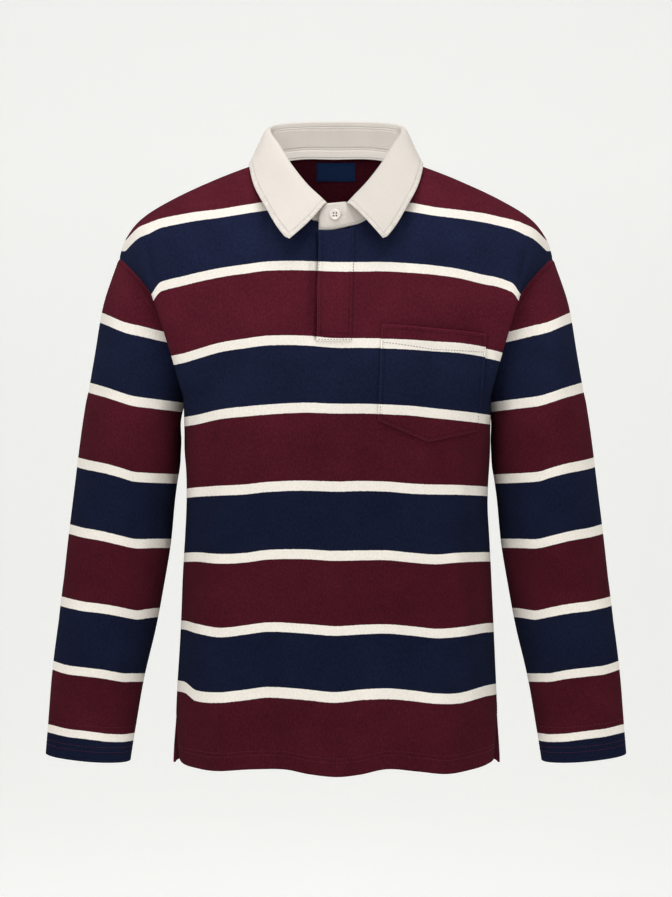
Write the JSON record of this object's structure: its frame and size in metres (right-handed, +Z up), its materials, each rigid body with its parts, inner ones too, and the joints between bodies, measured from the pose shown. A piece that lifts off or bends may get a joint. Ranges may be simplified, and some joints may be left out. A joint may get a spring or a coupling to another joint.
{
  "type": "rugby shirt",
  "caption": "Long-sleeved striped rugby shirt in heavy jersey, worn form with nobody in it: twill collar, concealed placket, chest pocket and side vents.",
  "frame": {"origin": "midway between the two high shoulder points, where the neck seam crosses the shoulder seams, which is where a wearer's shoulders hold the shirt", "axes": "+Z up; the front faces -Y; +X to the right of a viewer who faces the front"},
  "size_m": [0.7, 0.2538, 0.8086],
  "materials": {
    "striped_jersey": "matt cotton jersey, broad maroon and navy stripes parted by narrow cream ones",
    "collar_twill": "matt cream cotton twill",
    "neck_tape": "cream herringbone tape",
    "label_weave": "plain navy woven label",
    "button": "pearly cream, four holes"
  },
  "bodies": {
    "root": {"front": "striped_jersey", "back": "striped_jersey", "sleeve_left": "striped_jersey", "sleeve_right": "striped_jersey", "pocket": "striped_jersey", "placket_top": "striped_jersey", "placket_under": "striped_jersey", "collar_leaf": "collar_twill", "collar_stand": "collar_twill", "neck_tape": "neck_tape", "neck_label": "label_weave", "collar_button": "button"}
  },
  "joints": []
}
